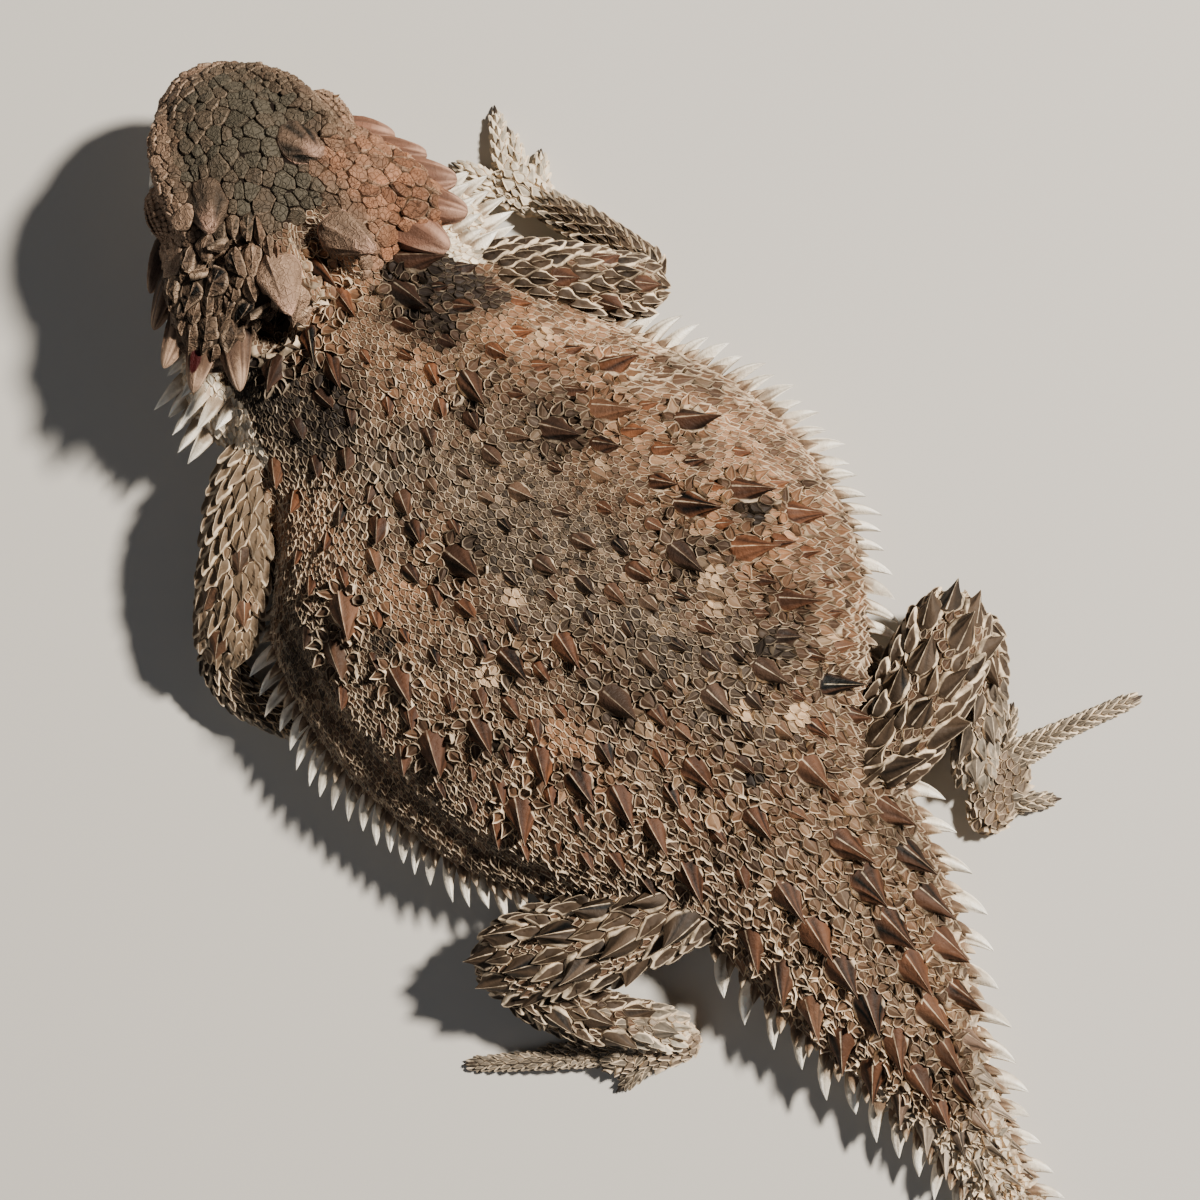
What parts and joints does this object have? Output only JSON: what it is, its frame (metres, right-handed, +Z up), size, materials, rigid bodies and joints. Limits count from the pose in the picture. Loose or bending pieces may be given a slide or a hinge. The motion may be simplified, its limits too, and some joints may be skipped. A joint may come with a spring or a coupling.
{
  "type": "short-horned lizard model",
  "caption": "Life-size still model of a short-horned lizard lying flat with legs folded, with head horns, back thorns and a spiny side fringe.",
  "frame": {"origin": "centre of the bounding box in plan, on the floor that the belly and feet rest on", "axes": "+Y towards the tail, +X towards the animal's left side, +Z up"},
  "size_m": [0.0694, 0.1387, 0.0226],
  "materials": {
    "head": "dry, rough horny plates",
    "eye": "wet and glossy",
    "skin": "dry, granular scales",
    "limb": "dry, keeled overlapping scales"
  },
  "bodies": {
    "root": {"head": "head", "eye_left": "eye", "eye_right": "eye", "neck": "skin", "torso": "skin", "tail_base": "skin", "tail_tip": "skin", "upper_arm_left": "limb", "upper_arm_right": "limb", "forearm_left": "limb", "forearm_right": "limb", "hand_left": "limb", "hand_right": "limb", "thigh_left": "limb", "thigh_right": "limb", "shin_left": "limb", "shin_right": "limb", "foot_left": "limb", "foot_right": "limb"}
  },
  "joints": []
}
